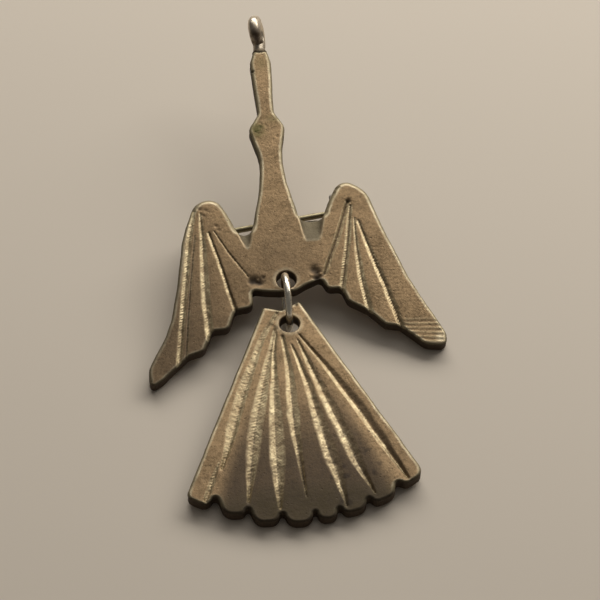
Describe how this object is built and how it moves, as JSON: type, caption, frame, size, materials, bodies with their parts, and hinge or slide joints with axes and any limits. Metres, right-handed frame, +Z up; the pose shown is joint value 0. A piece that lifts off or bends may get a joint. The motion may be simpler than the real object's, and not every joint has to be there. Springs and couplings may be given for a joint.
{
  "type": "bird brooch-pendant",
  "caption": "Flat cast bird brooch-pendant with outspread wings, a wire eye at the beak, a brooch pin with safety catch on the back and a fan tail hung from a jump ring.",
  "frame": {"origin": "under the middle of the piece as it lies on its back, on the surface it lies on", "axes": "+Z up out of the bird's front, +Y towards the beak and bail, +X to the bird's right-hand side as seen from the front"},
  "size_m": [0.042, 0.0851, 0.0152],
  "materials": {
    "cast_pewter": "antiqued cast pewter, fine grain, edges rubbed bright",
    "cast_pewter_dark": "antiqued cast pewter, darker, groove sides rubbed bright",
    "ring_wire": "polished white metal wire, lightly tarnished",
    "findings": "nickel-plated pressed metal, dulled",
    "steel_wire": "drawn steel wire",
    "solder": "dull grey solder"
  },
  "bodies": {
    "brooch": {"bird_casting": "cast_pewter", "bail_loop": "ring_wire", "bail_solder": "solder", "pin_joint": "findings", "joint_rivet": "findings", "catch_barrel": "findings", "joint_solder": "solder", "catch_solder": "solder"},
    "link": {"jump_ring": "ring_wire"},
    "tail": {"tail_fan": "cast_pewter_dark"},
    "stem": {"pin_stem": "steel_wire"},
    "latch": {"catch_lock": "findings"}
  },
  "joints": [
    {"name": "ring_turn", "type": "hinge", "parent": "brooch", "child": "link", "pos_m": [-0.00091, -0.00679, 0.0042], "axis": [1, 0, 0], "range_deg": [-150, 80]},
    {"name": "tail_sway", "type": "hinge", "parent": "link", "child": "tail", "pos_m": [-0.00091, -0.0104, 0.0034], "axis": [0, -0.0755, 0.9971], "range_deg": [-25, 25]},
    {"name": "stem_open", "type": "hinge", "parent": "brooch", "child": "stem", "pos_m": [-0.01117, 0.00926, 0.00155], "axis": [-0.1274, 0.9712, 0.2015], "range_deg": [0, 110]},
    {"name": "latch_turn", "type": "hinge", "parent": "brooch", "child": "latch", "pos_m": [0.00886, 0.01184, 0.00177], "axis": [-0.9917, -0.1279, -0.0109], "range_deg": [0, 90]}
  ]
}
